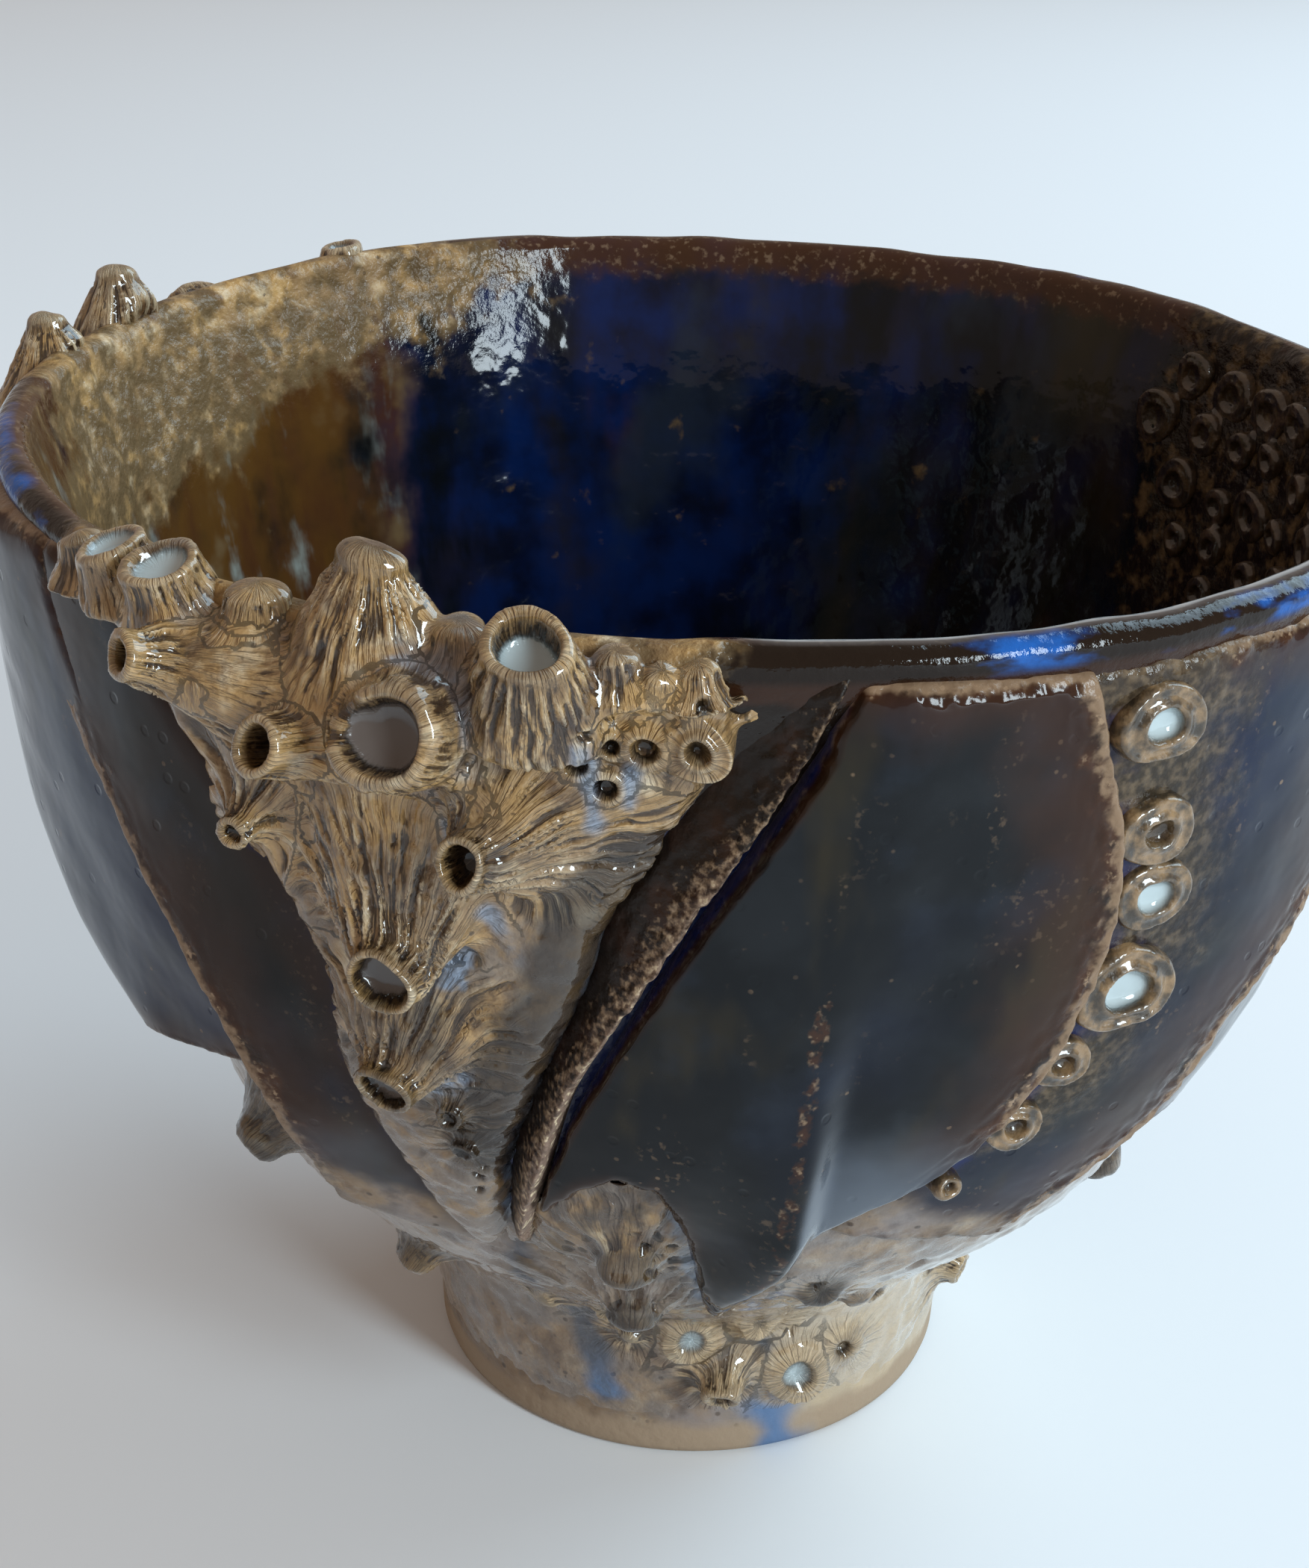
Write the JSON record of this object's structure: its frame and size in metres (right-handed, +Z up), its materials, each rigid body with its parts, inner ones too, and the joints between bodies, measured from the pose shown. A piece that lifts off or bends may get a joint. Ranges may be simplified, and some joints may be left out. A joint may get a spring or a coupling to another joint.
{
  "type": "barnacle-textured ceramic bowl",
  "caption": "Hand-built glazed stoneware bowl on a foot ring, its wall of overlapping panels grown over with modelled limpets and barnacles.",
  "frame": {"origin": "centre of the foot ring's underside, on the surface the bowl stands on", "axes": "+Z up along the bowl's axis; -Y towards the pictured front; +X to its right"},
  "size_m": [0.1618, 0.165, 0.1259],
  "materials": {
    "stoneware": "glossy slate, cobalt and brown glaze over buff clay"
  },
  "bodies": {
    "root": {"bowl": "stoneware"}
  },
  "joints": []
}
